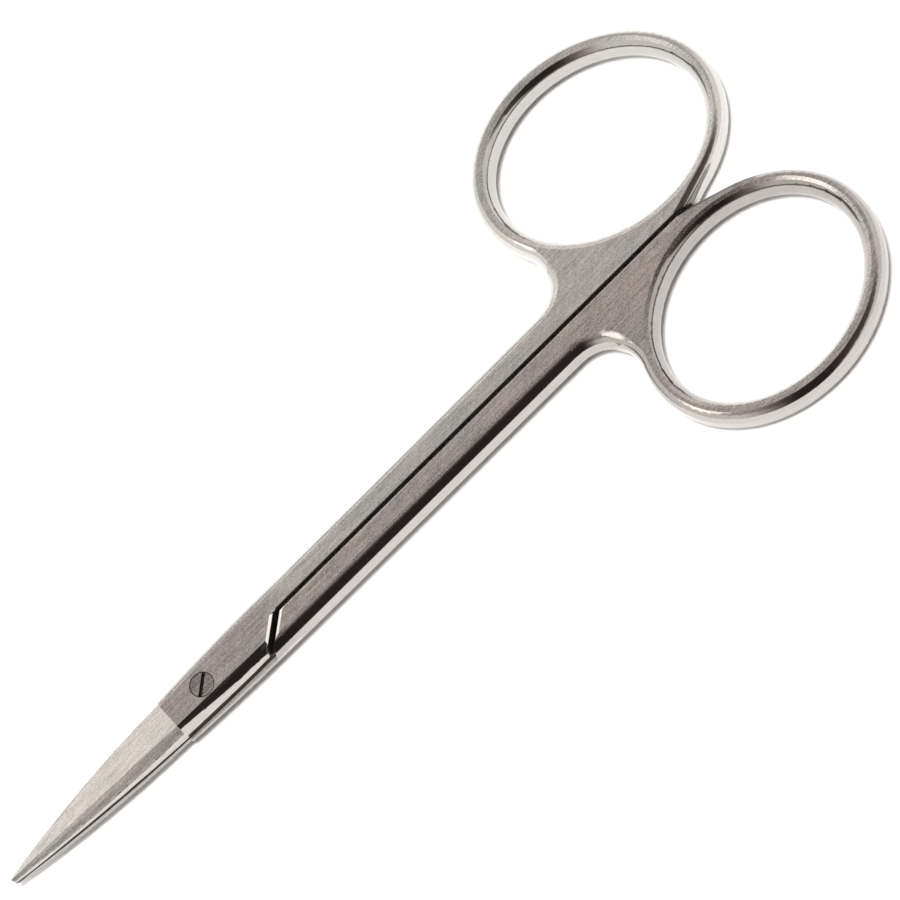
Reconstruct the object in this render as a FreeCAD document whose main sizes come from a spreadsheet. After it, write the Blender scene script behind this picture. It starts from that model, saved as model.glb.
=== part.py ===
import FreeCAD, Part
import math
import os
import Sketcher

# Straight fine-pointed scissors with two finger rings, closed, lying flat.
# Frame: the pivot axis is X = 0, Y = 0. The blades point along +X, the rings lie at -X, +Z is up,
# Z = 0 is the ground underside, and the screw's head is on top.
# All lengths are in millimetres.

os.makedirs("parts", exist_ok=True)
Vector = FreeCAD.Vector
doc = FreeCAD.newDocument("scissors")

# Driving sizes
SIZES = dict(
    overrun=1.0,                # how far each cutting outline reaches past the metal
    # the whole closed pair
    thickness=3.6,              # over the ground flats of both halves
    lap_clearance=0.03,         # between the two joint plates
    shank_gap=0.44,             # between the two closed shanks
    grind_depth=0.12,           # what flat grinding takes off each rounded face
    # finger rings
    ring_x=-71.35,              # centre of the finger hole
    ring_web=3.09,              # metal between the centre line and the finger hole
    ring_tilt=10.0,             # turn of the oval, in degrees
    hole_long=12.58,            # half length of the finger hole where it is narrowest, at mid height
    hole_short=10.28,           # half width of the finger hole there
    hole_inset=1.12,            # how far the hole's barrel wall draws back at the flats
    ring_wall=2.50,             # metal round the finger hole, at mid height
    rim_shift=0.10,             # the ring's outside lies this much further from the centre line
    rim_rounding=1.45,
    contact_back=2.4,           # the rings part from the shanks' gap this far behind the hole's centre
    # shanks
    shank_half=3.50,            # half width of the closed pair at the joint
    shank_spread=0.19,          # each shank's outer side opens towards the rings, in degrees
    joint_x=-11.0,              # where the shank's straight side begins
    neck_radius=4.41,           # inner corner between shank and ring
    neck_follow=40.0,           # the barrel side follows that corner through this turn, in degrees,
    runout_radius=2.6,          # and then runs out on a tighter arc
    runout_turn=58.0,
    side_inset=1.40,            # how far the barrel side draws in at the flats
    inner_break=0.14,           # width of the broken edges along the gap between the shanks
    break_drop=0.05,            # their depth
    side_stock=0.05,            # what the barrel grinding takes off the blank
    # joint plate
    heel_x=4.95,                # where plate ends and blade begins
    plate_draw=0.47,            # how much narrower the plate is at the heel, on the ring's own side
    plate_root=1.0,             # where the plate's far side is rooted
    shoulder_x=-10.75,          # inner end of the slanting shoulder
    shoulder_run=3.4,           # how far it runs along X
    shoulder_rise=2.9,          # and along Y
    shoulder_gap=1.00,          # along X, between plate end and the other half's step
    plate_break=0.25,           # broken edge at the plate's end
    step_break=0.32,            # broken edge of the step that faces it, measured along the flat
    step_drop=0.13,             # and down the step
    # far side of plate and blade, the blade's back
    back_y=2.82,
    back_x=-5.0,                # where its arc is parallel to X
    back_radius=238.0,
    flat_y=1.60,                # edge of the plate's flat at back_x
    ridge_y=1.43,               # edge of the flat at the heel, where the ridge begins
    # blade
    tip_x=29.3,
    edge_y=2.75,
    edge_x=3.0,
    edge_radius=147.0,
    edge_wall=0.50,             # height of the steep cutting bevel at the heel
    tip_edge_wall=0.28,
    tip_ridge_y=-0.05,
    tip_height=0.66,            # height of one blade at the tip
    tip_half=0.36,              # radius of the rounded tip, seen from above
    # pivot screw
    head_radius=1.38,
    head_land=0.15,             # straight rim of the head
    head_cone=0.50,             # height of the countersunk cone
    stem_radius=0.90,
    running_fit=0.03,           # radial clearance of the turning half
    thread_fit=0.01,            # radial clearance in the half that holds the screw
    head_inset=0.02,
    end_inset=0.05,             # the screw's end, above the underside
    end_chamfer=0.12,
    slot_width=0.42,
    slot_depth=0.40,
    slot_angle=41.0,            # turn of the slot, in degrees
)

# Smallest real cut in cubic millimetres, equal lengths in millimetres, and equal slopes
LEAST_CUT = 1e-6
SAME = 0.01
SAME_SLOPE = 0.02

sheet = doc.addObject("Spreadsheet::Sheet", "Sizes")
for row, (alias, value) in enumerate(SIZES.items(), 1):
    sheet.set(f"A{row}", alias)
    sheet.set(f"B{row}", str(value))
    sheet.setAlias(f"B{row}", alias)
doc.recompute()


# Sketch helpers: every coordinate is a formula over the sheet's cells
def formula(text):
    """Name the sheet in a formula that is written with bare cell names."""
    for alias in sorted(SIZES, key=len, reverse=True):
        text = text.replace(f"<{alias}>", f"Sizes.{alias}")
    return text


def value_of(text):
    """Work the same formula out here, for a sketch's first guess and for places."""
    for alias, value in SIZES.items():
        text = text.replace(f"<{alias}>", f"({value})")
    return FreeCAD.Units.Quantity(text.replace("deg", "")).Value


def origin_plane(body, role):
    return next(item for item in body.Origin.OriginFeatures if item.Role == role)


def new_sketch(body, name, role, offset=""):
    """A sketch on one of the body's own origin planes, moved along that plane's normal."""
    sketch = body.newObject("Sketcher::SketchObject", name)
    sketch.AttachmentSupport = (origin_plane(body, role), [""])
    sketch.MapMode = "FlatFace"
    if offset:
        sketch.setExpression(".AttachmentOffset.Base.z", formula(offset))
    return sketch


def bind(sketch, constraint, text):
    index = sketch.addConstraint(constraint)
    sketch.setExpression(f"Constraints[{index}]", formula(text))


def pin(sketch, geometry, end, place):
    """Hold one end of a line or arc at a place given by two formulas."""
    for kind, text in zip(("DistanceX", "DistanceY"), place):
        guess = value_of(text)
        bind(sketch, Sketcher.Constraint(kind, -1, 1, geometry, end, guess), text)


def chain(sketch, places, closed=True):
    """Straight lines from place to place, joined end to end."""
    points = [Vector(value_of(x), value_of(y), 0) for x, y in places]
    count = len(points) if closed else len(points) - 1
    lines = []
    for number in range(count):
        segment = Part.LineSegment(points[number], points[(number + 1) % len(points)])
        lines.append(sketch.addGeometry(segment))
    for number, line in enumerate(lines):
        pin(sketch, line, 1, places[number])
        if closed or number + 1 < count:
            follower = lines[(number + 1) % count]
            sketch.addConstraint(Sketcher.Constraint("Coincident", line, 2, follower, 1))
    if not closed:
        pin(sketch, lines[-1], 2, places[-1])
    return lines


def oval(sketch, centre, half_long, half_short, ends=None):
    """A whole ellipse, or the arc of one, with its axes held by formulas."""
    middle = Vector(value_of(centre[0]), value_of(centre[1]), 0)
    turn = math.radians(-SIZES["ring_tilt"])
    along = Vector(math.cos(turn), math.sin(turn), 0)
    across = Vector(-math.sin(turn), math.cos(turn), 0)
    long_guess = value_of(half_long)
    short_guess = value_of(half_short)
    curve = Part.Ellipse(middle + along * long_guess, middle + across * short_guess, middle)
    if ends:
        curve = Part.ArcOfEllipse(curve, *ends)
    shape = sketch.addGeometry(curve)
    sketch.exposeInternalGeometry(shape)
    long_axis = shape + 1
    short_axis = shape + 2
    bind(sketch, Sketcher.Constraint("Distance", long_axis, 2 * long_guess), f"2*{half_long}")
    bind(sketch, Sketcher.Constraint("Distance", short_axis, 2 * short_guess), f"2*{half_short}")
    direction = sketch.Geometry[long_axis]
    slope = math.atan2(direction.EndPoint.y - direction.StartPoint.y,
                       direction.EndPoint.x - direction.StartPoint.x)
    if abs(slope) > math.pi / 2:
        text = "180 deg - <ring_tilt> * 1 deg"
        slope = math.pi + turn
    else:
        text = "-<ring_tilt> * 1 deg"
        slope = turn
    bind(sketch, Sketcher.Constraint("Angle", long_axis, slope), text)
    pin(sketch, shape, 3, centre)
    return shape


def pad(body, sketch, length):
    feature = body.newObject("PartDesign::Pad", sketch.Name + "Pad")
    feature.Profile = sketch
    feature.setExpression("Length", formula(length))
    doc.recompute()
    return feature


def pocket(body, sketch, length, reverse=False):
    """Cut with a sketch, and stop if nothing comes off."""
    before = body.Shape.Volume
    feature = body.newObject("PartDesign::Pocket", sketch.Name + "Pocket")
    feature.Profile = sketch
    feature.Reversed = reverse
    feature.setExpression("Length", formula(length))
    doc.recompute()
    if body.Shape.Volume > before - LEAST_CUT:
        raise RuntimeError(f"{feature.Name} cuts nothing")
    return feature


def pick_edges(shape, wanted):
    """Names of the edges for which wanted(edge) holds."""
    return [f"Edge{number}" for number, edge in enumerate(shape.Edges, 1) if wanted(edge)]


def dress_edges(body, kind, name, wanted, sizes, style=""):
    """A Fillet or Chamfer on the wanted edges; sizes gives its properties as formulas."""
    base = body.Tip
    names = pick_edges(base.Shape, wanted)
    if not names:
        raise RuntimeError(f"{name} finds no edge")
    feature = body.newObject("PartDesign::" + kind, name)
    feature.Base = (base, names)
    if style:
        feature.ChamferType = style
    for place, text in sizes.items():
        feature.setExpression(place, formula(text))
    doc.recompute()
    return feature


LAP = "(<thickness>/2 + <lap_clearance>/2)"
INNER = "-<shank_gap>/2"
RING_Y = "(<hole_short> + <ring_web>)"
RIM_LONG = "(<hole_long> + <ring_wall>)"
RIM_SHORT = "(<hole_short> + <ring_wall>)"
CONTACT = ("<ring_x> - <contact_back>", INNER)
HEEL_HALF = "(<shank_half> - <plate_draw>)"
SIDE_RADIUS = "((<side_inset>^2 + (<thickness>/2)^2) / (2*<side_inset>))"
WALL_RADIUS = "((<hole_inset>^2 + (<thickness>/2)^2) / (2*<hole_inset>))"


# First guesses, in millimetres and radians, which the sketch solver then replaces
RIM_ENDS_GUESS = (math.radians(125), math.radians(389))
NECK_ENDS_GUESS = (math.radians(90), math.radians(195))
NECK_GUESS = 3.0
BOW_GUESS = 0.11


def shank_side(sketch, stock):
    """The bowed side of the joint plate and the straight side of the shank, tangent to each other.

    The shank's far end is left free. Returns the shank's line.
    """
    heel = ("<heel_x>", "-" + HEEL_HALF + " - " + stock)
    joint = ("<joint_x>", "-<shank_half> - " + stock)
    start = Vector(value_of(joint[0]), value_of(joint[1]), 0)
    reach = value_of("<joint_x> - <ring_x> - " + RIM_LONG) - NECK_GUESS
    turn = math.radians(180 + SIZES["shank_spread"])
    end = start + Vector(math.cos(turn), math.sin(turn), 0) * reach
    shank = sketch.addGeometry(Part.LineSegment(start, end))
    pin(sketch, shank, 1, joint)
    bind(sketch, Sketcher.Constraint("Angle", shank, turn), "(180 + <shank_spread>) * 1 deg")
    tip = Vector(value_of(heel[0]), value_of(heel[1]), 0)
    middle = (start + tip) / 2 - Vector(0, BOW_GUESS, 0)
    plate = sketch.addGeometry(Part.Arc(tip, middle, start))
    first = sketch.getPoint(plate, 1)
    at_heel = first.distanceToPoint(tip) < first.distanceToPoint(start)
    pin(sketch, plate, 1 if at_heel else 2, heel)
    sketch.addConstraint(Sketcher.Constraint("Tangent", plate, 2 if at_heel else 1, shank, 1))
    return shank


# The forged blank of one half on its own side of the centre line: shank, web and ring outside
def forged_blank(body):
    """Returns the formula for the place where the shank turns into the neck."""
    sketch = new_sketch(body, "Blank", "XY_Plane", "-<grind_depth>")
    shank = shank_side(sketch, "<side_stock>")
    rim = oval(sketch, ("<ring_x>", "-(" + RING_Y + " + <rim_shift>)"), RIM_LONG, RIM_SHORT,
               RIM_ENDS_GUESS)
    radius = value_of("<neck_radius>")
    centre = sketch.getPoint(shank, 2) - Vector(0, radius, 0)
    circle = Part.Circle(centre, Vector(0, 0, 1), radius)
    neck = sketch.addGeometry(Part.ArcOfCircle(circle, *NECK_ENDS_GUESS))
    sketch.addConstraint(Sketcher.Constraint("Tangent", neck, 1, shank, 2))
    sketch.addConstraint(Sketcher.Constraint("Tangent", neck, 2, rim, 2))
    bind(sketch, Sketcher.Constraint("Radius", neck, radius), "<neck_radius>")
    inner_end = Vector(value_of(CONTACT[0]), value_of(CONTACT[1]), 0)
    lead = sketch.addGeometry(Part.LineSegment(sketch.Geometry[rim].StartPoint, inner_end))
    pin(sketch, lead, 2, CONTACT)
    sketch.addConstraint(Sketcher.Constraint("Tangent", lead, 1, rim, 1))
    heel = ("<heel_x>", "-" + HEEL_HALF + " - <side_stock>")
    chain(sketch, [CONTACT, ("<heel_x>", INNER), heel], closed=False)
    measure = sketch.addConstraint(Sketcher.Constraint("DistanceX", -1, 1, shank, 2, 0.0))
    sketch.setDriving(measure, False)
    sketch.renameConstraint(measure, "NeckStart")
    pad(body, sketch, "<thickness> + 2*<grind_depth>")
    return sketch.Name + ".Constraints.NeckStart"


def cut_flats(body):
    """Grind both faces of the rounded blank flat."""
    reach = "(" + RIM_LONG + " + 2*" + RIM_SHORT + ")"
    corners = [("<ring_x> - " + reach, "-" + reach), ("<tip_x>", "-" + reach),
               ("<tip_x>", reach), ("<ring_x> - " + reach, reach)]
    under = new_sketch(body, "UnderGrind", "XY_Plane", "-<grind_depth>")
    chain(under, corners)
    pocket(body, under, "<grind_depth>", reverse=True)
    top = new_sketch(body, "TopGrind", "XY_Plane", "<thickness>")
    chain(top, corners)
    pocket(body, top, "<grind_depth>", reverse=True)


def route_arc(route, before, end, start, radius_text, turn_text):
    """An arc that goes on from the end of the piece before it, tangent to it, turning left."""
    radius = value_of(radius_text)
    turn = math.radians(value_of(turn_text))
    centre = route.getPoint(before, end) - Vector(math.cos(start), math.sin(start), 0) * radius
    circle = Part.Circle(centre, Vector(0, 0, 1), radius)
    arc = route.addGeometry(Part.ArcOfCircle(circle, start, start + turn))
    route.addConstraint(Sketcher.Constraint("Tangent", arc, 1, before, end))
    bind(route, Sketcher.Constraint("Radius", arc, radius), radius_text)
    bind(route, Sketcher.Constraint("Angle", arc, turn), turn_text + " * 1 deg")
    return arc


def barrel_outline(section, crest, radius_text):
    """Outline of a hollow grinding tool that leaves a wall bulging towards smaller X of the sketch.

    crest is where the wall stands out furthest, at half the thickness.
    """
    radius = value_of(radius_text)
    middle = crest + " + " + radius_text
    centre = Vector(value_of(middle), value_of("<thickness>/2"), 0)
    rise = Vector(0, radius, 0)
    arc = section.addGeometry(Part.Arc(centre + rise, centre - Vector(radius, 0, 0), centre - rise))
    outer = crest + " - <overrun>"
    low = "<thickness>/2 - " + radius_text
    high = "<thickness>/2 + " + radius_text
    lines = chain(section, [(middle, low), (outer, low), (outer, high), (middle, high)], closed=False)
    section.addConstraint(Sketcher.Constraint("Coincident", arc, 1, lines[2], 2))
    section.addConstraint(Sketcher.Constraint("Coincident", arc, 2, lines[0], 1))
    bind(section, Sketcher.Constraint("DistanceX", -1, 1, arc, 3, centre.x), middle)


def grind_along(body, name, section, route, edges):
    before = body.Shape.Volume
    cut = body.newObject("PartDesign::SubtractivePipe", name)
    cut.Profile = section
    cut.Spine = (route, edges)
    doc.recompute()
    if body.Shape.Volume > before - LEAST_CUT:
        raise RuntimeError(f"{name} takes nothing off")


def barrel_side(body, neck_start):
    """Grind the outer side of plate and shank to a barrel, running out at the neck."""
    section = new_sketch(body, "BarrelSection", "YZ_Plane", "<heel_x>")
    barrel_outline(section, "-" + HEEL_HALF, SIDE_RADIUS)
    route = new_sketch(body, "BarrelRoute", "XY_Plane", "<thickness>/2")
    shank = shank_side(route, "0")
    bind(route, Sketcher.Constraint("DistanceX", -1, 1, shank, 2, 0.0), neck_start)
    follow = route_arc(route, shank, 2, math.pi / 2, "<neck_radius> + <side_stock>", "<neck_follow>")
    start = math.pi / 2 + math.radians(SIZES["neck_follow"])
    route_arc(route, follow, 2, start, "<runout_radius>", "<runout_turn>")
    grind_along(body, "BarrelCut", section, route, ["Edge2", "Edge1", "Edge3", "Edge4"])


def finger_hole(body):
    """Pierce the finger hole and round its wall to a barrel."""
    middle = ("<ring_x>", "-" + RING_Y)
    pierced = new_sketch(body, "FingerHole", "XY_Plane", "<thickness>")
    oval(pierced, middle, "(<hole_long> - <side_stock>)", "(<hole_short> - <side_stock>)")
    pocket(body, pierced, "<thickness>")
    section = new_sketch(body, "WallSection", "XZ_Plane", RING_Y)
    section.setExpression(".AttachmentOffset.Base.x", formula("<ring_x>"))
    section.setExpression(".AttachmentOffset.Rotation.Pitch", formula("-<ring_tilt> * 1 deg"))
    barrel_outline(section, "<hole_long>", WALL_RADIUS)
    route = new_sketch(body, "WallRoute", "XY_Plane", "<thickness>/2")
    oval(route, middle, "<hole_long>", "<hole_short>")
    grind_along(body, "WallCut", section, route, ["Edge1"])


def lap_cut(body):
    """Take the lower half of the thickness away where the other half's plate lies."""
    sketch = new_sketch(body, "LapCut", "XY_Plane", LAP)
    slope = "(<shoulder_run>/<shoulder_rise>)"
    far = "(<shank_half> + <overrun>)"
    root_x = "<shoulder_x> - <shoulder_gap>"
    end_x = "<heel_x> + <overrun>"
    chain(sketch, [(root_x + " - " + slope + "*<overrun>", "<overrun>"),
                   (root_x + " + " + slope + "*" + far, "-" + far),
                   (end_x, "-" + far), (end_x, "<overrun>")])
    pocket(body, sketch, "<thickness>")


# Far side of the joint plate and the blade, lofted through cross sections
BACK = "(<back_y> - ({x} - <back_x>)^2 / (2*<back_radius>))"
FLAT = "(<flat_y> + (<ridge_y> - <flat_y>) * ({x} - <back_x>) / (<heel_x> - <back_x>))"
EDGE = "(<edge_y> - ({x} - <edge_x>)^2 / (2*<edge_radius>))"
ALONG = "(({x} - <heel_x>) / (<tip_x> - <heel_x>))"
RIDGE = "(<ridge_y> + (<tip_ridge_y> - <ridge_y>) * " + ALONG + ")"
HEIGHT = "(<thickness>/2 + (<tip_height> - <thickness>/2) * " + ALONG + ")"
WALL = "(<edge_wall> + (<tip_edge_wall> - <edge_wall>) * " + ALONG + ")"
BLADE_SPANS = 4


def cross_section(body, name, x_text, corners):
    """A cross section at one X: straight sides through corners, then an arc round the back.

    The arc runs from the last corner down to the first one, with its centre at lap height.
    """
    sketch = new_sketch(body, name, "YZ_Plane", x_text)
    here = [(y.format(x="(" + x_text + ")"), z.format(x="(" + x_text + ")")) for y, z in corners]
    lines = chain(sketch, here, closed=False)
    back = Vector(value_of(here[0][0]), value_of(here[0][1]), 0)
    ridge = Vector(value_of(here[-1][0]), value_of(here[-1][1]), 0)
    inset = back.x - ridge.x
    height = ridge.y - back.y
    radius = (inset ** 2 + height ** 2) / (2 * inset)
    centre = Vector(back.x - radius, back.y, 0)
    top = math.atan2(ridge.y - centre.y, ridge.x - centre.x)
    circle = Part.Circle(centre, Vector(0, 0, 1), radius)
    arc = sketch.addGeometry(Part.ArcOfCircle(circle, 0, top))
    sketch.addConstraint(Sketcher.Constraint("Coincident", arc, 1, lines[0], 1))
    sketch.addConstraint(Sketcher.Constraint("Coincident", arc, 2, lines[-1], 2))
    sketch.addConstraint(Sketcher.Constraint("PointOnObject", arc, 3, lines[0]))
    return sketch


def loft(body, name, sections):
    feature = body.newObject("PartDesign::AdditiveLoft", name)
    feature.Profile = sections[0]
    feature.Sections = sections[1:]
    doc.recompute()


def far_plate(body):
    stations = ["<shoulder_x>", "<back_x>", "<heel_x>"]
    corners = [(BACK, LAP), ("-<plate_root>", LAP), ("-<plate_root>", "<thickness>"),
               (FLAT, "<thickness>")]
    sections = [cross_section(body, f"PlateSection{number}", x_text, corners)
                for number, x_text in enumerate(stations, 1)]
    loft(body, "FarPlate", sections)
    sketch = new_sketch(body, "ShoulderCut", "XY_Plane", "<thickness>")
    outside = "<shoulder_x> - <overrun>"
    far_y = "<shoulder_rise>*2 - <shank_gap>/2"
    chain(sketch, [(outside, INNER), ("<shoulder_x>", INNER),
                   ("<shoulder_x> + <shoulder_run>*2", far_y), (outside, far_y)])
    pocket(body, sketch, "<thickness>")


def blade(body):
    corners = [(BACK, LAP), ("-" + EDGE, LAP), ("-" + EDGE, LAP + " + " + WALL),
               (RIDGE, "<thickness>/2 + " + HEIGHT)]
    sections = []
    for number in range(BLADE_SPANS + 1):
        x_text = f"<heel_x> + (<tip_x> - <heel_x>)*{number}/{BLADE_SPANS}"
        sections.append(cross_section(body, f"BladeSection{number}", x_text, corners))
    loft(body, "Blade", sections)


def round_tip(body):
    """Round the blunt tip, seen from above."""
    sketch = new_sketch(body, "TipOutline", "XY_Plane", "<thickness>")
    start = "<tip_x> - <tip_half>"
    outside = "<tip_x> + <overrun>"
    wide = "<overrun>"
    lines = chain(sketch, [(start, "<tip_half>"), (start, wide), (outside, wide),
                           (outside, "-" + wide), (start, "-" + wide), (start, "-<tip_half>")],
                  closed=False)
    centre = Vector(value_of(start), 0, 0)
    circle = Part.Circle(centre, Vector(0, 0, 1), value_of("<tip_half>"))
    arc = sketch.addGeometry(Part.ArcOfCircle(circle, -math.pi / 2, math.pi / 2))
    sketch.addConstraint(Sketcher.Constraint("Coincident", arc, 1, lines[-1], 2))
    sketch.addConstraint(Sketcher.Constraint("Coincident", arc, 2, lines[0], 1))
    bind(sketch, Sketcher.Constraint("DistanceX", -1, 1, arc, 3, centre.x), start)
    pocket(body, sketch, "<thickness>")


def inner_breaks(body):
    """Break both long edges along the gap between the shanks, at a low angle."""
    sketch = new_sketch(body, "InnerBreaks", "YZ_Plane", "<shoulder_x>")
    near = INNER + " - <inner_break>"
    past = INNER + " + <inner_break>"
    top = "<thickness>"
    chain(sketch, [(near, top), (past, top + " - 2*<break_drop>"), (past, top)])
    chain(sketch, [(near, "0"), (past, "0"), (past, "2*<break_drop>")])
    pocket(body, sketch, "<shoulder_x> - <ring_x> + <contact_back> + <overrun>")


def slanting_at(height):
    """A test for the slanting edge of the shoulder that lies at a height."""
    def wanted(edge):
        box = edge.BoundBox
        slant = value_of("<shoulder_run> / <shoulder_rise>")
        return (box.ZLength < SAME and abs(box.ZMin - value_of(height)) < SAME
                and box.YLength > value_of("<shank_half> / 2")
                and abs(box.XLength / box.YLength - slant) < SAME_SLOPE
                and box.XMax < value_of("<shoulder_x> + <shoulder_run> + <overrun>"))
    return wanted


def on_shank_side(edge):
    """The straight edges of the shank's outer side, from which the rounding runs on all round."""
    box = edge.BoundBox
    return (isinstance(edge.Curve, Part.Line) and box.ZLength < SAME
            and abs(box.XMax - value_of("<joint_x>")) < SAME
            and box.YMax < value_of("-<shank_half> / 2"))


def make_half(name):
    body = doc.addObject("PartDesign::Body", name)
    body.Label = name
    neck_start = forged_blank(body)
    dress_edges(body, "Fillet", "RimRounding", on_shank_side, {"Radius": "<rim_rounding>"})
    cut_flats(body)
    finger_hole(body)
    barrel_side(body, neck_start)
    lap_cut(body)
    far_plate(body)
    dress_edges(body, "Chamfer", "PlateEndBreak", slanting_at("<thickness>"),
                {"Size": "<plate_break>"})
    dress_edges(body, "Chamfer", "StepBreak", slanting_at("0"),
                {"Size": "<step_drop>", "Size2": "<step_break>"}, style="Two distances")
    blade(body)
    round_tip(body)
    inner_breaks(body)
    return body


# The pivot: a countersunk hole in one half, a plain threaded one in the other, and the screw
HEAD_FOOT = "(<thickness> - <head_inset> - <head_land>)"
CONE_FOOT = "(<thickness> - <head_inset> - <head_land> - <head_cone>)"


def pivot_hole(body, countersunk):
    sketch = new_sketch(body, "PivotHole", "XZ_Plane")
    over = "<thickness> + <overrun>"
    if countersunk:
        stem = "<stem_radius> + <running_fit>"
        head = "<head_radius> + <running_fit>"
        corners = [("0", "0"), (stem, "0"), (stem, CONE_FOOT + " - <running_fit>"),
                   (head, HEAD_FOOT + " - <running_fit>"), (head, over), ("0", over)]
    else:
        stem = "<stem_radius> + <thread_fit>"
        corners = [("0", "0"), (stem, "0"), (stem, over), ("0", over)]
    chain(sketch, corners)
    before = body.Shape.Volume
    groove = body.newObject("PartDesign::Groove", "PivotGroove")
    groove.Profile = sketch
    groove.ReferenceAxis = (sketch, ["V_Axis"])
    groove.Angle = 360
    doc.recompute()
    if body.Shape.Volume > before - LEAST_CUT:
        raise RuntimeError("the pivot hole cuts nothing")


def make_screw(name):
    body = doc.addObject("PartDesign::Body", name)
    body.Label = name
    sketch = new_sketch(body, "Outline", "XZ_Plane")
    top = "<thickness> - <head_inset>"
    chain(sketch, [("0", "<end_inset>"), ("<stem_radius> - <end_chamfer>", "<end_inset>"),
                   ("<stem_radius>", "<end_inset> + <end_chamfer>"), ("<stem_radius>", CONE_FOOT),
                   ("<head_radius>", HEAD_FOOT), ("<head_radius>", top), ("0", top)])
    turned = body.newObject("PartDesign::Revolution", "Turned")
    turned.Profile = sketch
    turned.ReferenceAxis = (sketch, ["V_Axis"])
    turned.Angle = 360
    doc.recompute()
    slot = new_sketch(body, "Slot", "XY_Plane", top)
    slot.setExpression(".AttachmentOffset.Rotation.Yaw", formula("<slot_angle> * 1 deg"))
    half = "<slot_width>/2"
    over = "<head_radius> + <overrun>"
    chain(slot, [("-(" + over + ")", "-" + half), (over, "-" + half), (over, half),
                 ("-(" + over + ")", half)])
    pocket(body, slot, "<slot_depth>")
    return body


upper = make_half("upper_half")
lower = make_half("lower_half")
pivot_hole(upper, True)
pivot_hole(lower, False)
screw = make_screw("pivot_screw")
lower.Placement = FreeCAD.Placement(Vector(0, 0, 0), FreeCAD.Rotation(Vector(1, 0, 0), 180))
lower.setExpression(".Placement.Base.z", "Sizes.thickness")
doc.recompute()

for item in doc.Objects:
    if "Invalid" in item.State or "Error" in item.State:
        raise RuntimeError(f"{item.Name} is {item.State}")
for body in (upper, lower, screw):
    if body.Shape.isNull() or not body.Shape.isValid() or len(body.Shape.Solids) != 1:
        raise RuntimeError(f"{body.Label} is not one valid solid")
    body.Shape.exportStep(f"parts/{body.Label}.step")
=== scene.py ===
# %% [markdown]
# # Fine surgical scissors
# A straight pair of iris scissors lies closed on a white table. It is three pieces of steel: two
# forged and ground halves and the slotted screw on which they turn. This lesson loads the solid
# model as a frame, sets the camera and the light, and then spends its effort on what makes steel
# look like steel: how finely each face was ground or polished, and what it mirrors.

# %% Load the frame
import bpy
import math
from mathutils import Matrix, Vector

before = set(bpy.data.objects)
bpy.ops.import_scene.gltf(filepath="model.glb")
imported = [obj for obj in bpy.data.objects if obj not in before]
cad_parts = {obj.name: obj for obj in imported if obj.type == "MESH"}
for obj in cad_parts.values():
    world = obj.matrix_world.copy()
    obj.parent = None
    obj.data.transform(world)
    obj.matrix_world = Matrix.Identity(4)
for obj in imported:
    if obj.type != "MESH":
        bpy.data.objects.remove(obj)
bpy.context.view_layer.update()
MM = 0.001
upper_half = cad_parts["upper_half"]
lower_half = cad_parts["lower_half"]
pivot_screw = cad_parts["pivot_screw"]

# %% [markdown]
# ## The camera
# The camera's place was found by matching the two equal finger rings, the round screw head and the
# centre line of the closed pair with their outlines in the photograph. It stands well above the table,
# almost half a metre away, and looks with a long lens, so that the near and far ring differ little in
# size. Typing the place and the three directions in is exact, where aiming the camera by hand is not.
# The directions are its right, up and backward axes in the object's own frame.

# %% Camera
CAMERA_PLACE = Vector((-30.440, 223.113, 421.809)) * MM
CAMERA_RIGHT = Vector((-0.7101037, 0.6260618, -0.3221792))
CAMERA_UP = Vector((-0.7039800, -0.6229533, 0.3410885))
CAMERA_BACK = CAMERA_RIGHT.cross(CAMERA_UP).normalized()
LENS = 177.11
SENSOR = 36.0
NEAREST_SEEN = 0.05
FARTHEST_SEEN = 20.0


def make_camera():
    data = bpy.data.cameras.new("camera")
    data.lens = LENS
    data.sensor_width = SENSOR
    data.sensor_fit = "AUTO"
    data.clip_start = NEAREST_SEEN
    data.clip_end = FARTHEST_SEEN
    camera = bpy.data.objects.new("camera", data)
    bpy.context.scene.collection.objects.link(camera)
    axes = Matrix((CAMERA_RIGHT, CAMERA_UP, CAMERA_BACK)).transposed()
    camera.matrix_world = Matrix.Translation(CAMERA_PLACE) @ axes.to_4x4()
    bpy.context.scene.camera = camera
    return camera


camera = make_camera()
print("camera looks along", tuple(round(v, 3) for v in -CAMERA_BACK))

# %% [markdown]
# ## The table
# The scissors lie on a white, matt surface. One large square is enough, because nothing of it is seen
# but white and a thin shadow. It lies a hair below the ground faces, so that the two never share a plane.

# %% Table
TABLE_REACH = 0.45
TABLE_DROP = 0.02 * MM
TABLE_WHITE = (0.93, 0.93, 0.93, 1.0)
TABLE_ROUGHNESS = 0.9
TABLE_SHEEN = 0.1


def shader_of(material):
    """The node tree and the main shader of a fresh material."""
    material.use_nodes = True
    tree = material.node_tree
    return tree, tree.nodes["Principled BSDF"]


def make_table():
    bpy.ops.mesh.primitive_plane_add(size=2 * TABLE_REACH, location=(0, 0, 0))
    table = bpy.context.object
    table.name = "table"
    table.data.transform(Matrix.Translation((0, 0, -TABLE_DROP)))
    white = bpy.data.materials.new("table_white")
    tree, shader = shader_of(white)
    shader.inputs["Base Color"].default_value = TABLE_WHITE
    shader.inputs["Roughness"].default_value = TABLE_ROUGHNESS
    shader.inputs["Specular IOR Level"].default_value = TABLE_SHEEN
    table.data.materials.append(white)
    return table


table = make_table()
print("table top is", round(TABLE_DROP / MM, 3), "mm under the scissors")

# %% [markdown]
# ## Bricks for masks
# The room and the steel are both made of masks: numbers from 0 to 1 that say how much of something is
# at a place or in a direction. A mask is built from a few kinds of node, so each kind gets a short
# helper first. Most used is the ramp, a smooth step: it goes from one value to another while a
# measure passes from a first limit to a second, and it goes down when the first limit is the higher.

# %% Bricks for masks


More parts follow.
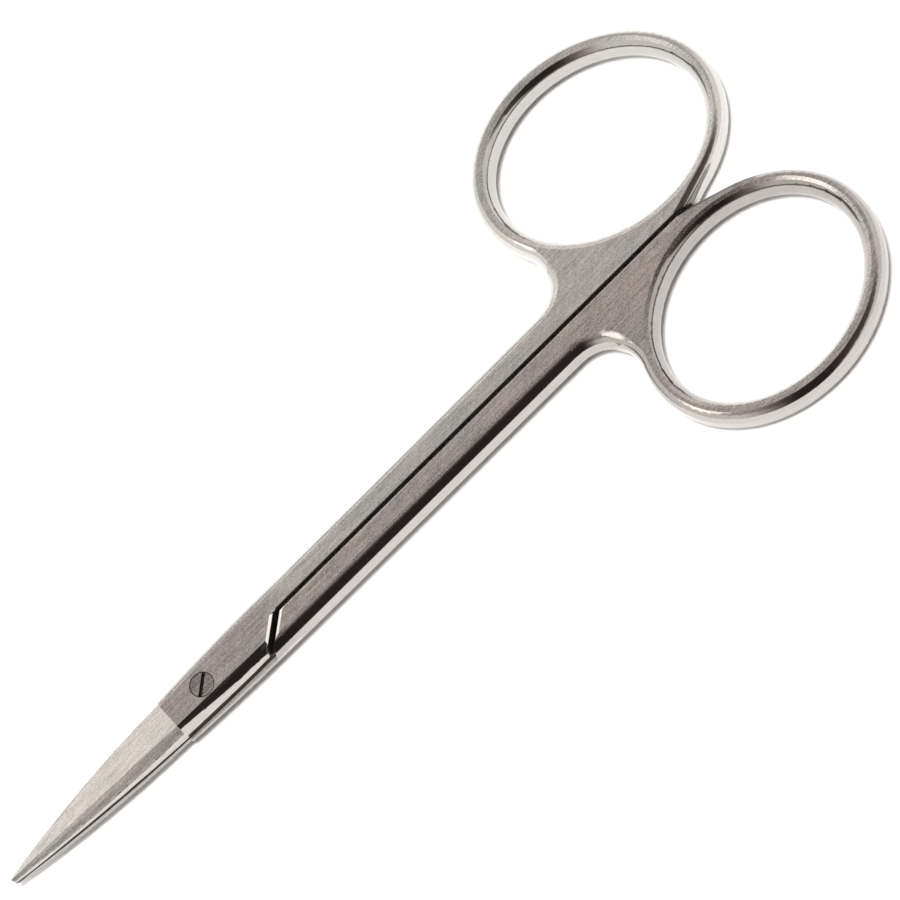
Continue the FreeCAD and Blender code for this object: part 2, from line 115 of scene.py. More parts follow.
def math_node(tree, operation, *values, clamp=False):
    """A Math node fed with sockets or plain numbers; returns its output."""
    node = tree.nodes.new("ShaderNodeMath")
    node.operation = operation
    node.use_clamp = clamp
    for socket, value in zip(node.inputs, values):
        if isinstance(value, (int, float)):
            socket.default_value = value
        else:
            tree.links.new(value, socket)
    return node.outputs[0]


def ramp(tree, value, low, high, to_low=0.0, to_high=1.0):
    """Smooth step from to_low to to_high while value goes from low to high."""
    node = tree.nodes.new("ShaderNodeMapRange")
    node.interpolation_type = "SMOOTHSTEP"
    tree.links.new(value, node.inputs["Value"])
    node.inputs["From Min"].default_value = low
    node.inputs["From Max"].default_value = high
    node.inputs["To Min"].default_value = to_low
    node.inputs["To Max"].default_value = to_high
    return node.outputs["Result"]


def product(tree, *masks):
    """All masks multiplied."""
    total = masks[0]
    for mask in masks[1:]:
        total = math_node(tree, "MULTIPLY", total, mask)
    return total


def weighted_sum(tree, start, *pairs):
    """start plus each value times its weight."""
    total = start
    for value, weight in pairs:
        total = math_node(tree, "MULTIPLY_ADD", value, weight, total)
    return total


def band(tree, value, low, high, soft):
    """1 while value lies between low and high, with soft ends."""
    rising = ramp(tree, value, low - soft, low)
    falling = ramp(tree, value, high, high + soft, 1.0, 0.0)
    return product(tree, rising, falling)


def mix_of(tree, factor, a, b, kind="FLOAT"):
    """A Mix node; a and b are sockets, numbers or colours."""
    node = tree.nodes.new("ShaderNodeMix")
    node.data_type = kind
    for name, value in (("Factor", factor), ("A", a), ("B", b)):
        socket = [s for s in node.inputs if s.name == name and s.enabled][0]
        if isinstance(value, bpy.types.NodeSocket):
            tree.links.new(value, socket)
        else:
            socket.default_value = value
    return [s for s in node.outputs if s.enabled][0]


def xyz_of(tree, vector):
    """The three parts of a vector."""
    node = tree.nodes.new("ShaderNodeSeparateXYZ")
    tree.links.new(vector, node.inputs[0])
    return node.outputs


print("bricks are ready")

# %% [markdown]
# ## The room
# Steel has hardly any colour of its own: it shows the room. So the room matters more here than any lamp.
# It was read from the steel in the photograph: where a barrel side, a flat or a rim is dark or light,
# the law of reflection says from which direction that dark or light came. Directions that the photograph
# doesn't mirror are guessed. A photographed room or a few white boards could stand there too. A formula
# over the direction needs no picture and no objects, and it stays where it is when the camera moves.
#
# A white backdrop runs all round up to about thirty degrees, and the ceiling over it is grey. The
# photographer's side is dark almost to the zenith, and that dark begins higher up towards the rings. The
# backdrop is duller low down on the far side, and a window, a soft round patch, shines from beyond the
# tips. The white is a little warm and the dark a little reddish. Heights are given as the Z part of a
# direction of length 1: 0 is the horizon, 1 the zenith.

# %% The room
BACKDROP_WHITE = 1.20
CEILING_GREY = 0.55
BACKDROP_TOP = (0.50, 0.64)
DARKEST = 0.045
DARK_CENTRE = math.radians(104)
DARK_FLANKS = (0.33, 0.88)
DARK_FOOT = (-0.11, 0.07)
DARK_FOOT_RISE = 0.60
DARK_TOP = (0.998, 0.87)
DARK_RING_SIDE = (0.0, -0.7)
DARK_RING_SHARE = 0.86
FAR_SIDE_LOSS = 0.55
FAR_SIDE_FLANK = (-0.30, -0.80)
FAR_SIDE_END = (0.30, 0.05)
FAR_SIDE_FOOT = (0.02, 0.10)
FAR_SIDE_TOP = (0.42, 0.32)
WINDOW_EXTRA = 1.9
WINDOW_DIRECTION = Vector((0.67, -0.08, 0.74)).normalized()
WINDOW_EDGE = (0.935, 0.975)
LIGHT_TINT = (1.0, 0.98, 0.965, 1.0)
DARK_TINT = (1.0, 0.80, 0.78, 1.0)


def compass_of(tree, x, y, z):
    """The direction's level part, brought to length 1: its shares along X and across, along Y."""
    squared = math_node(tree, "MULTIPLY", z, z)
    level = math_node(tree, "SQRT", math_node(tree, "SUBTRACT", 1.0, squared))
    return math_node(tree, "DIVIDE", x, level), math_node(tree, "DIVIDE", y, level)


def dark_side(tree, x, z, along, across):
    """1 towards the photographer's dark side."""
    towards = weighted_sum(tree, 0.0, (along, math.cos(DARK_CENTRE)), (across, math.sin(DARK_CENTRE)))
    height = weighted_sum(tree, z, (x, DARK_FOOT_RISE))
    return product(tree, ramp(tree, towards, *DARK_FLANKS), ramp(tree, height, *DARK_FOOT),
                   ramp(tree, z, *DARK_TOP), ramp(tree, along, *DARK_RING_SIDE, 1.0, DARK_RING_SHARE))


def dull_far_side(tree, z, along, across):
    """1 on the duller stretch of backdrop, low down beyond the upper half."""
    return product(tree, ramp(tree, across, *FAR_SIDE_FLANK), ramp(tree, along, *FAR_SIDE_END),
                   ramp(tree, z, *FAR_SIDE_FOOT), ramp(tree, z, *FAR_SIDE_TOP))


def window_patch(tree, direction):
    """The window's light, a soft round patch."""
    nearness = tree.nodes.new("ShaderNodeVectorMath")
    nearness.operation = "DOT_PRODUCT"
    tree.links.new(direction, nearness.inputs[0])
    nearness.inputs[1].default_value = WINDOW_DIRECTION
    return ramp(tree, nearness.outputs["Value"], *WINDOW_EDGE, 0.0, WINDOW_EXTRA)


def make_room():
    world = bpy.data.worlds.new("room")
    bpy.context.scene.world = world
    world.use_nodes = True
    tree = world.node_tree
    direction = tree.nodes.new("ShaderNodeTexCoord").outputs["Generated"]
    x, y, z = xyz_of(tree, direction)
    along, across = compass_of(tree, x, y, z)
    light = ramp(tree, z, *BACKDROP_TOP, BACKDROP_WHITE, CEILING_GREY)
    dulled = weighted_sum(tree, light, (dull_far_side(tree, z, along, across), -FAR_SIDE_LOSS))
    dark = dark_side(tree, x, z, along, across)
    share = math_node(tree, "SUBTRACT", 1.0, dark)
    lit = math_node(tree, "MULTIPLY_ADD", dulled, share, DARKEST)
    total = math_node(tree, "ADD", lit, window_patch(tree, direction))
    background = tree.nodes["Background"]
    tree.links.new(mix_of(tree, dark, LIGHT_TINT, DARK_TINT, "RGBA"), background.inputs["Color"])
    tree.links.new(total, background.inputs["Strength"])
    return world


room = make_room()
print("room levels:", BACKDROP_WHITE, CEILING_GREY, DARKEST, "window:", WINDOW_EXTRA)

# %% [markdown]
# ## The soft box
# The table in the photograph is washed out to white, and only a thin soft shadow hugs the steel. That
# takes a lamp almost straight overhead, a third of a metre wide: a wider one spreads the shadow, a
# smaller one cuts it hard. Mirrored in the steel it would be a white square that the photograph doesn't
# show, so it is hidden from mirroring rays and only lights the table.

# %% Soft box
BOX_DIRECTION = Vector((0.0, 0.06, 1.0)).normalized()
BOX_DISTANCE = 1.0
BOX_SIZE = 0.36
BOX_POWER = 12.2


def make_soft_box():
    data = bpy.data.lights.new("soft_box", "AREA")
    data.shape = "SQUARE"
    data.size = BOX_SIZE
    data.energy = BOX_POWER
    soft_box = bpy.data.objects.new("soft_box", data)
    bpy.context.scene.collection.objects.link(soft_box)
    soft_box.location = BOX_DIRECTION * BOX_DISTANCE
    soft_box.rotation_euler = BOX_DIRECTION.to_track_quat("Z", "Y").to_euler()
    soft_box.visible_glossy = False
    return soft_box


soft_box = make_soft_box()
bpy.context.scene.view_settings.view_transform = "Standard"
print("soft box stands at", tuple(round(v, 2) for v in soft_box.location))

# %% [markdown]
# ## Which tool was last on each face
# The halves were forged, then their sides were ground to a barrel and polished until they mirror, and
# last their two faces were ground flat on a fine belt, which leaves a satin. One material holds both
# finishes: the direction in which a face looks tells which tool was last on it. That is simpler than
# cutting the mesh into patches, and it follows every edge exactly. A face that looks straight up or down
# is a ground one. The blades were finished by hand, so there the satin runs over the ridge and part of
# the way down the back. A little noise on the limit makes the satin end in flecks, as on the real steel.

# %% Finish masks
BLADE_START = 4.95 * MM
FLAT_LIMITS = (0.83, 0.985)
BLADE_LIMITS = (0.35, 0.70)
FLECKS = 0.13


def upright_of(tree):
    """How far a face looks straight up or down, from 0 to 1."""
    facing = tree.nodes.new("ShaderNodeNewGeometry").outputs["True Normal"]
    return math_node(tree, "ABSOLUTE", xyz_of(tree, facing)["Z"])


def satin_mask(tree, x, upright, flecks):
    """1 on ground faces, 0 on polished ones."""
    uneven = math_node(tree, "MULTIPLY_ADD", flecks, FLECKS, upright)
    flat = ramp(tree, uneven, *FLAT_LIMITS)
    back = ramp(tree, uneven, *BLADE_LIMITS)
    on_blade = math_node(tree, "GREATER_THAN", x, BLADE_START)
    return math_node(tree, "MAXIMUM", flat, product(tree, back, on_blade))


def by_finish(tree, satin, polished, ground):
    """One value on polished faces, another on ground ones, with a smooth passage."""
    return ramp(tree, satin, 0.0, 1.0, polished, ground)


print("a face counts as ground where its normal's Z passes", FLAT_LIMITS)

# %% [markdown]
# ## Painted shade round the screw
# The thin joint round the screw's head and the slot for the driver are nearly black in the photograph.
# Here both get a painted shade, a near-black colour where shade falls into them. A mask of plain
# distances finds both: the distance from the pivot axis for the joint, and the height for the slot,
# which ends below the head's face. The screw's plain end on the underside has such a joint too.

# %% Painted shade round the screw
THICKNESS = 3.6 * MM
NEAR_TOP = THICKNESS * 0.9
NEAR_BOTTOM = THICKNESS * 0.1
HEAD_RADIUS = 1.38 * MM
STEM_RADIUS = 0.90 * MM
JOINT_INSIDE = 0.03 * MM
JOINT_OUTSIDE = 0.05 * MM
JOINT_SOFT = 0.05 * MM
DRIVER_SLOT_HEIGHTS = (THICKNESS * 0.5, THICKNESS - 0.07 * MM)
DRIVER_SLOT_SOFT = 0.01 * MM


def joint_ring(tree, radius, middle):
    """A thin ring round the pivot axis."""
    return band(tree, radius, middle - JOINT_INSIDE, middle + JOINT_OUTSIDE, JOINT_SOFT)


def screw_joint_mask(tree, place):
    """The thin ring of painted shade between the screw and the plate, at both ends of the screw."""
    x, y, z = xyz_of(tree, place)
    radius = math_node(tree, "SQRT", math_node(
        tree, "MULTIPLY_ADD", x, x, math_node(tree, "MULTIPLY", y, y)))
    at_top = math_node(tree, "GREATER_THAN", z, NEAR_TOP)
    at_bottom = math_node(tree, "LESS_THAN", z, NEAR_BOTTOM)
    return math_node(tree, "MAXIMUM", product(tree, joint_ring(tree, radius, HEAD_RADIUS), at_top),
                     product(tree, joint_ring(tree, radius, STEM_RADIUS), at_bottom))


def driver_slot_mask(tree, place):
    """The driver's slot below the head's face, which gets a painted shade."""
    return band(tree, xyz_of(tree, place)["Z"], *DRIVER_SLOT_HEIGHTS, DRIVER_SLOT_SOFT)


print("dirt rings round the screw:", HEAD_RADIUS / MM, "and", STEM_RADIUS / MM, "mm in radius")

# %% [markdown]
# ## The slot at the plate's end
# Between the end of one half's plate and the step of the other runs a slanting slot. Its walls and floor
# get a painted shade, near-black where shade falls into the slot, while its two broken edges are
# polished and lightened with a painted highlight. Both are found by the distance from the slot's middle
# line and the depth below the face. The underside has the same slot, turned over with the lower half, so
# side 1 stands for the top one and side -1 for the other.

# %% Slot at the plate's end
SLOT_START = Vector((-11.25, -0.22)) * MM
SLOT_RUN = Vector((3.4, 2.9)).normalized()
SLOT_HALF_WIDTH = 0.42 * MM
SLOT_WIDTH_SOFT = 0.06 * MM
SLOT_END = 2.5 * MM
SLOT_END_SOFT = 0.15 * MM
SLOT_FLOOR = THICKNESS * 0.53
SLOT_FLOOR_SOFT = 0.05 * MM
BROKEN_EDGE_DEPTH = 0.27 * MM
BROKEN_EDGE_SOFT = 0.03 * MM
RIM_REACH = 0.95 * MM
RIM_REACH_SOFT = 0.05 * MM
RIM_START = SLOT_START.y - 0.1 * MM
RIM_END = 2.1 * MM
RIM_END_SOFT = 0.1 * MM
RIM_SLOPE = (0.98, 0.96)


def slot_measures(tree, place, side):
    """Depth below the face, distance from the slot's middle line, and way across the half."""
    x, y, z = xyz_of(tree, place)
    depth = z if side < 0 else math_node(tree, "SUBTRACT", THICKNESS, z)
    turned = math_node(tree, "MULTIPLY", y, float(side))
    across = math_node(tree, "MULTIPLY", math_node(tree, "SUBTRACT", turned, SLOT_START.y), SLOT_RUN.x)
    along = math_node(tree, "MULTIPLY", math_node(tree, "SUBTRACT", x, SLOT_START.x), SLOT_RUN.y)
    distance = math_node(tree, "ABSOLUTE", math_node(tree, "SUBTRACT", across, along))
    return depth, distance, turned


def plate_slot_mask(tree, place, side):
    """The walls and floor of the slanting slot, which get a painted shade."""
    depth, distance, turned = slot_measures(tree, place, side)
    wide = ramp(tree, distance, SLOT_HALF_WIDTH, SLOT_HALF_WIDTH + SLOT_WIDTH_SOFT, 1.0, 0.0)
    deep = band(tree, depth, BROKEN_EDGE_DEPTH, SLOT_FLOOR, SLOT_FLOOR_SOFT)
    long = band(tree, turned, SLOT_START.y, SLOT_END, SLOT_END_SOFT)
    return product(tree, wide, deep, long)


def top_slot_mask(tree, place):
    return plate_slot_mask(tree, place, 1)


def under_slot_mask(tree, place):
    return plate_slot_mask(tree, place, -1)


def slot_rim_mask(tree, place, upright):
    """The two broken edges of the slot on the top, polished and lightened with a painted highlight."""
    depth, distance, turned = slot_measures(tree, place, 1)
    near = ramp(tree, distance, RIM_REACH, RIM_REACH + RIM_REACH_SOFT, 1.0, 0.0)
    shallow = ramp(tree, depth, BROKEN_EDGE_DEPTH, BROKEN_EDGE_DEPTH + BROKEN_EDGE_SOFT, 1.0, 0.0)
    long = band(tree, turned, RIM_START, RIM_END, RIM_END_SOFT)
    return product(tree, near, shallow, long, ramp(tree, upright, *RIM_SLOPE))


# The slot's broken edges reach this deep; below them the slot gets its painted shade.
print("plate slot:", 2 * SLOT_HALF_WIDTH / MM, "mm wide, its edges clean to", BROKEN_EDGE_DEPTH / MM, "mm deep")

# %% [markdown]
# ## Where the two halves meet
# Seen from the side, the plates and the blades of the two halves meet in a thin black line, a painted
# shade for the dark groove between them. Just outside it a narrow margin of the lower lap face shows,
# lightened with a painted highlight. The back of the plate and blade is one long arc, so both are found
# by how far a point lies outside that arc and how near it is to the plane in which the halves meet. The
# broken top edge on one side of the gap between the shanks is painted black too, a painted shade that
# widens the dark gap.

# %% Where the halves meet
BACK_Y = 2.82 * MM
BACK_X = -5.0 * MM
BACK_RADIUS = 238.0 * MM
LAP_LINE = 0.075 * MM
LAP_LINE_SOFT = 0.03 * MM
LAP_LINE_START = SLOT_START.x + 3.0 * MM
MARGIN_HEIGHTS = (0.05 * MM, 0.03 * MM)
GAP_EDGE = 0.39 * MM
GAP_EDGE_SOFT = 0.01 * MM
GAP_DEPTH = 0.012 * MM


def past_the_back(tree, place):
    """How far a point lies outside the arc of the blade's and plate's back, seen from above."""
    x, y, z = xyz_of(tree, place)
    from_middle = math_node(tree, "SUBTRACT", x, BACK_X)
    sagitta = math_node(tree, "DIVIDE", math_node(
        tree, "MULTIPLY", from_middle, from_middle), 2 * BACK_RADIUS)
    reach = math_node(tree, "ADD", math_node(tree, "ABSOLUTE", y), sagitta)
    return math_node(tree, "SUBTRACT", reach, BACK_Y)


def lap_height(tree, place):
    """Distance from the plane in which the two plates and blades meet."""
    z = xyz_of(tree, place)["Z"]
    return math_node(tree, "ABSOLUTE", math_node(tree, "SUBTRACT", z, THICKNESS / 2))


def lap_line_mask(tree, place):
    """The painted shade line where the two plates and blades meet, seen from the side."""
    near = ramp(tree, lap_height(tree, place), LAP_LINE + LAP_LINE_SOFT, LAP_LINE)
    line = band(tree, past_the_back(tree, place), -LAP_LINE, LAP_LINE, LAP_LINE_SOFT)
    ahead = math_node(tree, "GREATER_THAN", xyz_of(tree, place)["X"], LAP_LINE_START)
    return product(tree, near, line, ahead)


def lap_margin_mask(tree, place):
    """The narrow margin of a lap face outside the other half's back, lightened with a painted highlight.
    """
    flush = ramp(tree, lap_height(tree, place), *MARGIN_HEIGHTS)
    outside = ramp(tree, past_the_back(tree, place), LAP_LINE, LAP_LINE + LAP_LINE_SOFT)
    ahead = math_node(tree, "GREATER_THAN", xyz_of(tree, place)["X"], SLOT_START.x)
    return product(tree, flush, outside, ahead)


def gap_edge_mask(tree, place):
    """The broken top edge of one shank along the gap, which gets a painted shade."""
    x, y, z = xyz_of(tree, place)
    edge = band(tree, y, -GAP_EDGE, 0.0, GAP_EDGE_SOFT)
    below = math_node(tree, "LESS_THAN", z, THICKNESS - GAP_DEPTH)
    near_top = math_node(tree, "GREATER_THAN", z, NEAR_TOP)
    behind = math_node(tree, "LESS_THAN", x, SLOT_START.x)
    return product(tree, edge, below, near_top, behind)


print("the back is an arc of", BACK_RADIUS / MM, "mm, the lap line", 2 * LAP_LINE / MM, "mm wide")

# %% [markdown]
# ## Sides that are steeper than a barrel
# The solids have one barrel profile all round. The reflections in the photograph fit better if the far
# side of the plate is steeper than that, more so towards the heel, and the insides of the finger rings
# too. How far the real shape differs there could not be measured, so the shape stays, and only the
# shading normal is laid flatter. Its Z part loses up to half on the plate and 22 percent in the rings,
# and it is brought back to length 1. That is no small change: it lowers a normal that stands at 45
# degrees by up to 18 degrees. The far side is at +Y on the upper half and at -Y on the lower one, which
# far_side tells.

# %% Steeper sides
PLATE_SIDE_START = -9.0 * MM
PLATE_SIDE_LEAN = 0.5
RING_CENTRE = Vector((-71.4, 12.4)) * MM
RING_LIMITS = (-57.0 * MM, -60.0 * MM)
RING_INSIDE_LEAN = 0.22


def ring_inside_mask(tree, place, far_side):
    """1 on the inside of the finger ring, where a side looks towards the ring's centre."""
    x, y, z = xyz_of(tree, place)
    own_x, own_y, own_z = xyz_of(tree, tree.nodes.new("ShaderNodeTexCoord").outputs["Normal"])
    to_centre_x = math_node(tree, "SUBTRACT", RING_CENTRE.x, x)
    to_centre_y = math_node(tree, "SUBTRACT", -RING_CENTRE.y * far_side, y)
    inward = math_node(tree, "MULTIPLY_ADD", to_centre_x, own_x, math_node(
        tree, "MULTIPLY", to_centre_y, own_y))
    inside = math_node(tree, "GREATER_THAN", inward, 0.0)
    return product(tree, inside, ramp(tree, x, *RING_LIMITS))


def plate_side_share(tree, place, far_side):
    """The share that the normal's Z loses on the plate's far side."""
    x, y, z = xyz_of(tree, place)
    on_plate = math_node(tree, "LESS_THAN", x, BLADE_START)
    turned = math_node(tree, "MULTIPLY", y, float(far_side))
    beyond = math_node(tree, "GREATER_THAN", turned, 0.0)
    return product(tree, on_plate, beyond, ramp(
        tree, x, PLATE_SIDE_START, BLADE_START, 0.0, PLATE_SIDE_LEAN))


def steeper_normal(tree, place, ring_inside, far_side):
    """The shading normal, laid flatter where a side is steeper than the shank's barrel."""
    ring_share = math_node(tree, "MULTIPLY", ring_inside, RING_INSIDE_LEAN)
    loss = math_node(tree, "ADD", plate_side_share(tree, place, far_side), ring_share)
    kept = math_node(tree, "SUBTRACT", 1.0, loss)
    x, y, z = xyz_of(tree, tree.nodes.new("ShaderNodeNewGeometry").outputs["Normal"])
    leaned = tree.nodes.new("ShaderNodeCombineXYZ")
    tree.links.new(x, leaned.inputs["X"])
    tree.links.new(y, leaned.inputs["Y"])
    tree.links.new(math_node(tree, "MULTIPLY", z, kept), leaned.inputs["Z"])
    unit = tree.nodes.new("ShaderNodeVectorMath")
    unit.operation = "NORMALIZE"
    tree.links.new(leaned.outputs[0], unit.inputs[0])
    return unit.outputs[0]


print("the normal's Z loses up to", PLATE_SIDE_LEAN, "on the plate,", RING_INSIDE_LEAN, "in the rings")

# %% [markdown]
# ## Marks in the surface
# The belt leaves a fine grain: specks about 0.15 mm wide, faint lines along the length, and fainter
# ones across them from the last light strokes. Soft smudges, some 6 mm wide, are left where fingers and
# cloths have been. Each is a noise with its own number of cells per metre along X, Y and Z: few along
# the length and many across make a line. Noise on the object's own coordinates stays on the steel when
# the scissors open, and needs no unwrapped mesh.

# %% Marks in the surface
SPECKS = (6500, 6500, 6500)
LINES = (260, 5200, 5200)
STROKES = (420, 6000, 6000)
SMUDGES = (170, 170, 170)
STROKE_LEAN = math.radians(38)
FINE_DETAIL = 3.0
DETAIL = 2.0
NOISE_ROUGHNESS = 0.6
GRAIN_OF_SPECKS = 1.4
GRAIN_OF_LINES = 1.1
GRAIN_OF_STROKES = 0.50


def noise(tree, place, cells, detail=DETAIL, lean=0.0):
    """Noise with so many cells per metre along x, y and z, leaned about Z, centred on 0."""
    mapping = tree.nodes.new("ShaderNodeMapping")
    mapping.vector_type = "TEXTURE"
    mapping.inputs["Scale"].default_value = [1.0 / count for count in cells]
    mapping.inputs["Rotation"].default_value = (0.0, 0.0, lean)
    tree.links.new(place, mapping.inputs["Vector"])
    texture = tree.nodes.new("ShaderNodeTexNoise")
    texture.inputs["Scale"].default_value = 1.0
    texture.inputs["Detail"].default_value = detail
    texture.inputs["Roughness"].default_value = NOISE_ROUGHNESS
    tree.links.new(mapping.outputs["Vector"], texture.inputs["Vector"])
    return math_node(tree, "SUBTRACT", texture.outputs["Fac"], 0.5)


def grain_of(tree, place, specks):
    """The belt's grain: specks, lines along the length and strokes across them."""
    lines = noise(tree, place, LINES, FINE_DETAIL)
    strokes = noise(tree, place, STROKES, DETAIL, STROKE_LEAN)
    return weighted_sum(tree, 0.0, (specks, GRAIN_OF_SPECKS), (lines, GRAIN_OF_LINES),
                        (strokes, GRAIN_OF_STROKES))


print("a speck is about", round(1 / SPECKS[0] / MM, 2), "mm wide")

# %% [markdown]
# ## How rough, how light, how warm
# A ground face scatters what it mirrors, and a polished one hardly does. The sloping faces of the blade
# are rougher than the flats. In tone the joint plate is darker than shank and blade, and the polished
# sides are a little darker than the flats. The insides of the rings get a painted shade: their tone is
# lowered. The tint wanders between greenish and pinkish with the smudges, and the warmth gives its
# average: the upper half's plate and the lower half's shank are the pinkest. Both tone and warmth change
# at the same two places along a half, slowly before the plate and at once at the heel, so one helper
# serves both.

# %% Roughness, tone and tint
POLISH_ROUGHNESS = 0.08
# Roughness under the painted shade in joints, slots and gaps.
PAINTED_SHADE_ROUGHNESS = 0.85
SPECKS_ON_GROUND = 0.16
SPECKS_ON_POLISH = 0.05
SMUDGE_ROUGHNESS = 0.10
BLADE_BACK_EXTRA = 0.19
BLADE_BACK_SLOPE = (0.95, 0.93)
PLATE_BLEND = (-14 * MM, -7 * MM)
HEEL_BLEND = (BLADE_START - 0.1 * MM, BLADE_START)
PLATE_TONE = 0.78
BLADE_TONE = 1.05
POLISH_TONE = 0.84
BLADE_POLISH_LOSS = 0.19
# Painted shade: how much tone the insides of the rings lose.
RING_INSIDE_PAINTED_SHADE = 0.13
# Painted highlights: how much the lap margin and the slot's rims are lightened.
MARGIN_PAINTED_HIGHLIGHT = 0.85
RIM_PAINTED_HIGHLIGHT = 0.9
SMUDGE_TONE = 0.12
GRAIN_ON_POLISH = 0.25
TINT_WANDER = 0.2
SMUDGE_RANGE = 0.15
POLISH_WARMTH = 0.4
STEEL_GREENISH = (0.520, 0.507, 0.478, 1.0)
STEEL_PINKISH = (0.595, 0.510, 0.485, 1.0)


def along_the_half(tree, x, on_shank, on_plate, on_blade):
    """A value for each of the three stretches: shank and ring, joint plate, blade."""
    to_plate = ramp(tree, x, *PLATE_BLEND, on_shank, on_plate)
    return math_node(tree, "ADD", to_plate, ramp(tree, x, *HEEL_BLEND, 0.0, on_blade - on_plate))


def roughness_of(tree, satin, specks, smudges, blade_back, satin_roughness):
    """Roughness of the steel outside the painted shade."""
    ground = weighted_sum(tree, satin_roughness, (specks, SPECKS_ON_GROUND), (smudges, SMUDGE_ROUGHNESS),
                          (blade_back, BLADE_BACK_EXTRA))
    polished = weighted_sum(tree, POLISH_ROUGHNESS, (specks, SPECKS_ON_POLISH),
                            (smudges, SMUDGE_ROUGHNESS))
    return mix_of(tree, satin, polished, ground)


def finish_tone(tree, satin, on_blade, ring_inside):
    """How much of the tone each finish keeps, with a painted shade inside the rings."""
    kept = by_finish(tree, satin, POLISH_TONE, 1.0)
    blade_loss = product(tree, on_blade, by_finish(tree, satin, BLADE_POLISH_LOSS, 0.0))
    ring_painted_shade = product(tree, ring_inside, by_finish(tree, satin, RING_INSIDE_PAINTED_SHADE, 0.0))
    return math_node(tree, "SUBTRACT", math_node(tree, "SUBTRACT", kept, blade_loss), ring_painted_shade)


def tint_of(tree, x, satin, smudges, warmth):
    """The steel's tint, between greenish and pinkish."""
    wander = ramp(tree, smudges, -SMUDGE_RANGE, SMUDGE_RANGE, -TINT_WANDER, TINT_WANDER)
    pink = math_node(tree, "ADD", along_the_half(tree, x, *warmth), wander)
    shown = product(tree, pink, by_finish(tree, satin, POLISH_WARMTH, 1.0))
    return mix_of(tree, shown, STEEL_GREENISH, STEEL_PINKISH, "RGBA")


print("roughness: polished", POLISH_ROUGHNESS, "and dirt", PAINTED_SHADE_ROUGHNESS)

# %% [markdown]
# ## The steel
# One function joins all of it into a metal. The painted shade goes on last: it lowers the metallic
# value, sets its own roughness and covers the tint with near-black. The grain also gives a relief a few
# thousandths of a millimetre deep, which a Bump node turns into a play of light. On polished faces it is
# almost gone. Each half gets a material of its own, since the lower one is darker in the photograph and
# its shank is warmer.

# %% Steel
# The near-black of the painted shade in joints, slots and gaps.
PAINTED_SHADE_COLOUR = (0.012, 0.010, 0.009, 1.0)
RELIEF = 0.003 * MM
RELIEF_ON_POLISH = 0.08
RELIEF_ON_GROUND = 0.5


def largest(tree, masks, place):
    """The strongest of several painted shade masks at a place."""
    painted_shade = masks[0](tree, place)
    for mask in masks[1:]:
        painted_shade = math_node(tree, "MAXIMUM", painted_shade, mask(tree, place))
    return painted_shade


def relief_of(tree, satin, grain, normal):
    """The grain's relief on the shading normal."""
    bump = tree.nodes.new("ShaderNodeBump")
    bump.inputs["Distance"].default_value = RELIEF
    tree.links.new(by_finish(tree, satin, RELIEF_ON_POLISH, RELIEF_ON_GROUND), bump.inputs["Strength"])
    tree.links.new(grain, bump.inputs["Height"])
    tree.links.new(normal, bump.inputs["Normal"])
    return bump.outputs["Normal"]


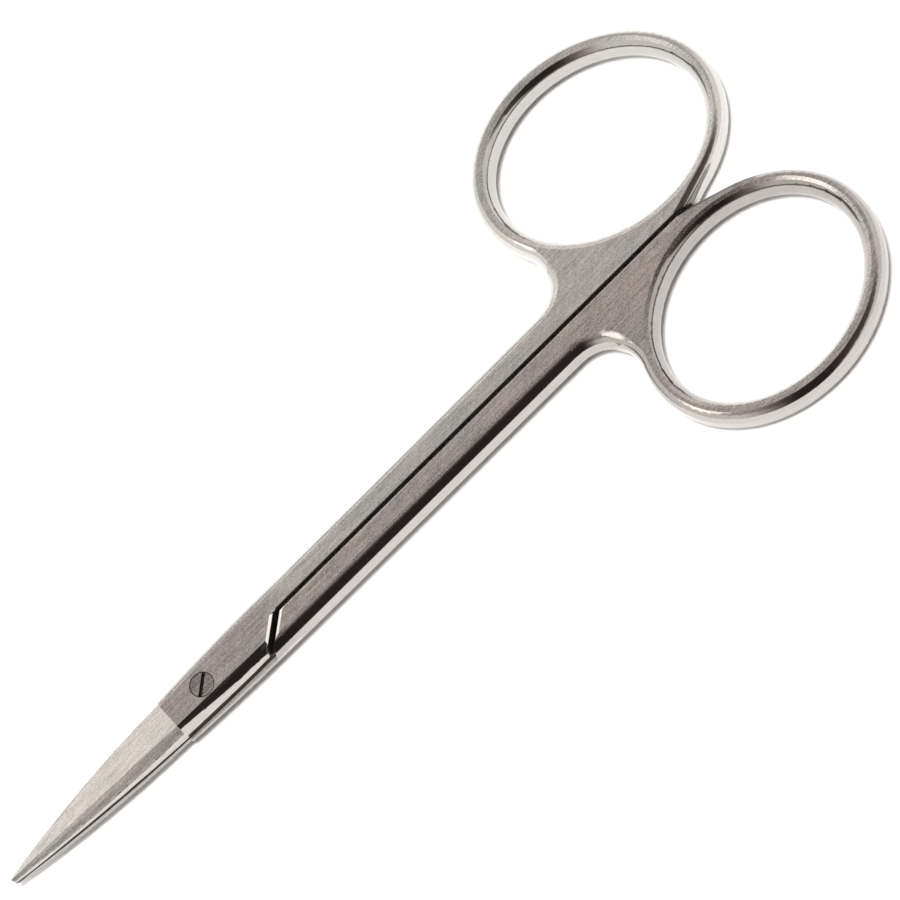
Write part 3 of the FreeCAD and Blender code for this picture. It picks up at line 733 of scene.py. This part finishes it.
def make_steel(name, painted_shade_masks, satin_roughness, tone, warmth, far_side):
    steel = bpy.data.materials.new(name)
    tree, shader = shader_of(steel)
    place = tree.nodes.new("ShaderNodeTexCoord").outputs["Object"]
    x = xyz_of(tree, place)["X"]
    upright = upright_of(tree)
    specks = noise(tree, place, SPECKS)
    smudges = noise(tree, place, SMUDGES)
    grain = grain_of(tree, place, specks)
    rims = slot_rim_mask(tree, place, upright)
    satin = math_node(tree, "SUBTRACT", satin_mask(tree, x, upright, specks), rims, clamp=True)
    painted_shade = largest(tree, painted_shade_masks, place)
    on_blade = math_node(tree, "GREATER_THAN", x, BLADE_START)
    blade_back = product(tree, on_blade, ramp(tree, upright, *BLADE_BACK_SLOPE))
    ring_inside = ring_inside_mask(tree, place, far_side)
    clean = roughness_of(tree, satin, specks, smudges, blade_back, satin_roughness)
    tree.links.new(mix_of(tree, painted_shade, clean, PAINTED_SHADE_ROUGHNESS), shader.inputs["Roughness"])
    # The lap margin and the slot's rims get painted highlights: their tone is raised here.
    level = weighted_sum(
        tree, along_the_half(tree, x, tone, tone * PLATE_TONE, tone * BLADE_TONE),
        (product(tree, grain, by_finish(tree, satin, GRAIN_ON_POLISH, 1.0)), 1.0),
        (smudges, SMUDGE_TONE), (lap_margin_mask(tree, place), MARGIN_PAINTED_HIGHLIGHT), (rims, RIM_PAINTED_HIGHLIGHT))
    shade = tree.nodes.new("ShaderNodeVectorMath")
    shade.operation = "SCALE"
    tree.links.new(tint_of(tree, x, satin, smudges, warmth), shade.inputs[0])
    tree.links.new(product(tree, level, finish_tone(tree, satin, on_blade, ring_inside)),
                   shade.inputs["Scale"])
    # The painted shade covers the steel's colour with near-black here.
    tree.links.new(mix_of(tree, painted_shade, shade.outputs[0], PAINTED_SHADE_COLOUR, "RGBA"), shader.inputs["Base Color"])
    tree.links.new(math_node(tree, "SUBTRACT", 1.0, painted_shade), shader.inputs["Metallic"])
    normal = steeper_normal(tree, place, ring_inside, far_side)
    tree.links.new(relief_of(tree, satin, grain, normal), shader.inputs["Normal"])
    return steel


print("relief of the grain:", round(RELIEF / MM, 4), "mm")

# %% [markdown]
# ## Dress the three pieces
# Each solid comes with one material slot, and its steel goes in there. The screw was turned, not
# ground, so its satin is a little rougher and its tone lower. Warmth is given for shank, plate and blade.

# %% Dress the pieces
SATIN_ROUGHNESS = 0.32
SCREW_ROUGHNESS = 0.36
UPPER_TONE = 1.13
LOWER_TONE = 0.86
SCREW_TONE = 0.76
UPPER_WARMTH = (0.2, 0.7, 0.2)
LOWER_WARMTH = (0.7, 0.5, 0.3)
# The masks that get the painted shade, on the halves and on the screw.
HALF_PAINTED_SHADE = (screw_joint_mask, top_slot_mask, under_slot_mask, lap_line_mask, gap_edge_mask)
SCREW_PAINTED_SHADE = (screw_joint_mask, driver_slot_mask)

upper_steel = make_steel("upper_half_steel", HALF_PAINTED_SHADE, SATIN_ROUGHNESS, UPPER_TONE, UPPER_WARMTH, 1)
lower_steel = make_steel("lower_half_steel", HALF_PAINTED_SHADE, SATIN_ROUGHNESS, LOWER_TONE, LOWER_WARMTH, -1)
screw_steel = make_steel("pivot_screw_steel", SCREW_PAINTED_SHADE, SCREW_ROUGHNESS, SCREW_TONE, UPPER_WARMTH, 1)
for piece, steel in ((upper_half, upper_steel), (lower_half, lower_steel), (pivot_screw, screw_steel)):
    piece.material_slots[0].material = steel
print("materials:", upper_steel.name, lower_steel.name, screw_steel.name)
